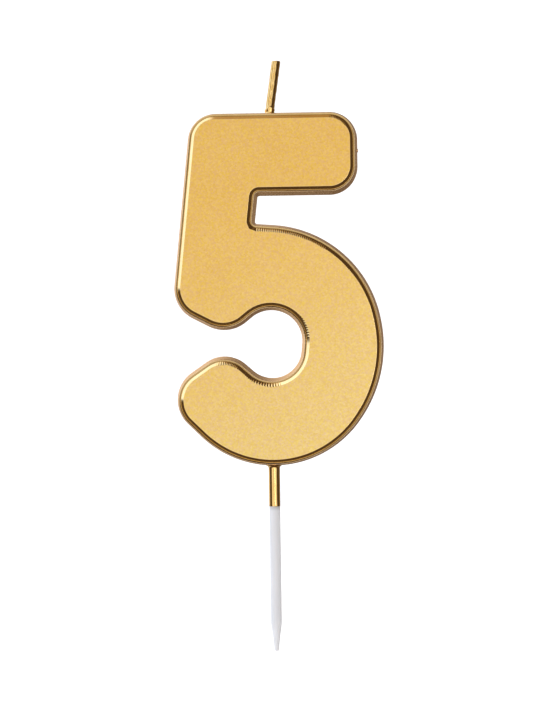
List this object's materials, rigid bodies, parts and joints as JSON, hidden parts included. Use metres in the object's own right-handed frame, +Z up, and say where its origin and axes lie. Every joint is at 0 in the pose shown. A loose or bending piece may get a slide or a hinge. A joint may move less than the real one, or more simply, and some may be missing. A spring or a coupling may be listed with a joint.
{
  "type": "number birthday candle",
  "caption": "Flat digit-shaped wax candle in a satin gold coat with bevelled faces, on a blunt white pick, with a short wick that bends at its root.",
  "frame": {"origin": "on the pick's axis, at the lower end of the gold coat, the line that the icing of a cake reaches", "axes": "+Z up along the pick towards the wick, the digit's front face towards -Y, +X to the reader's right"},
  "size_m": [0.0423, 0.009, 0.12],
  "materials": {
    "wax": "pale uncoloured paraffin wax, slightly waxy sheen",
    "gold": "metallic gold overdip, satin with a fine sparkle on the faces and glossy on edges and neck",
    "white_plastic": "white moulded plastic, semi-gloss, slightly translucent",
    "cotton": "waxed cotton yarn"
  },
  "bodies": {
    "candle": {"wax_core": "wax", "gold_coat": "gold", "pick": "white_plastic", "buried_ply_1": "cotton", "buried_ply_2": "cotton", "buried_ply_3": "cotton"},
    "wick": {"wick_jacket": "gold", "stub_ply_1": "cotton", "stub_ply_2": "cotton", "stub_ply_3": "cotton"}
  },
  "joints": [
    {"name": "wick_bend", "type": "hinge", "parent": "candle", "child": "wick", "pos_m": [0.00016, 0, 0.08065], "axis": [0, 1, 0], "range_deg": [-53, 37]}
  ]
}
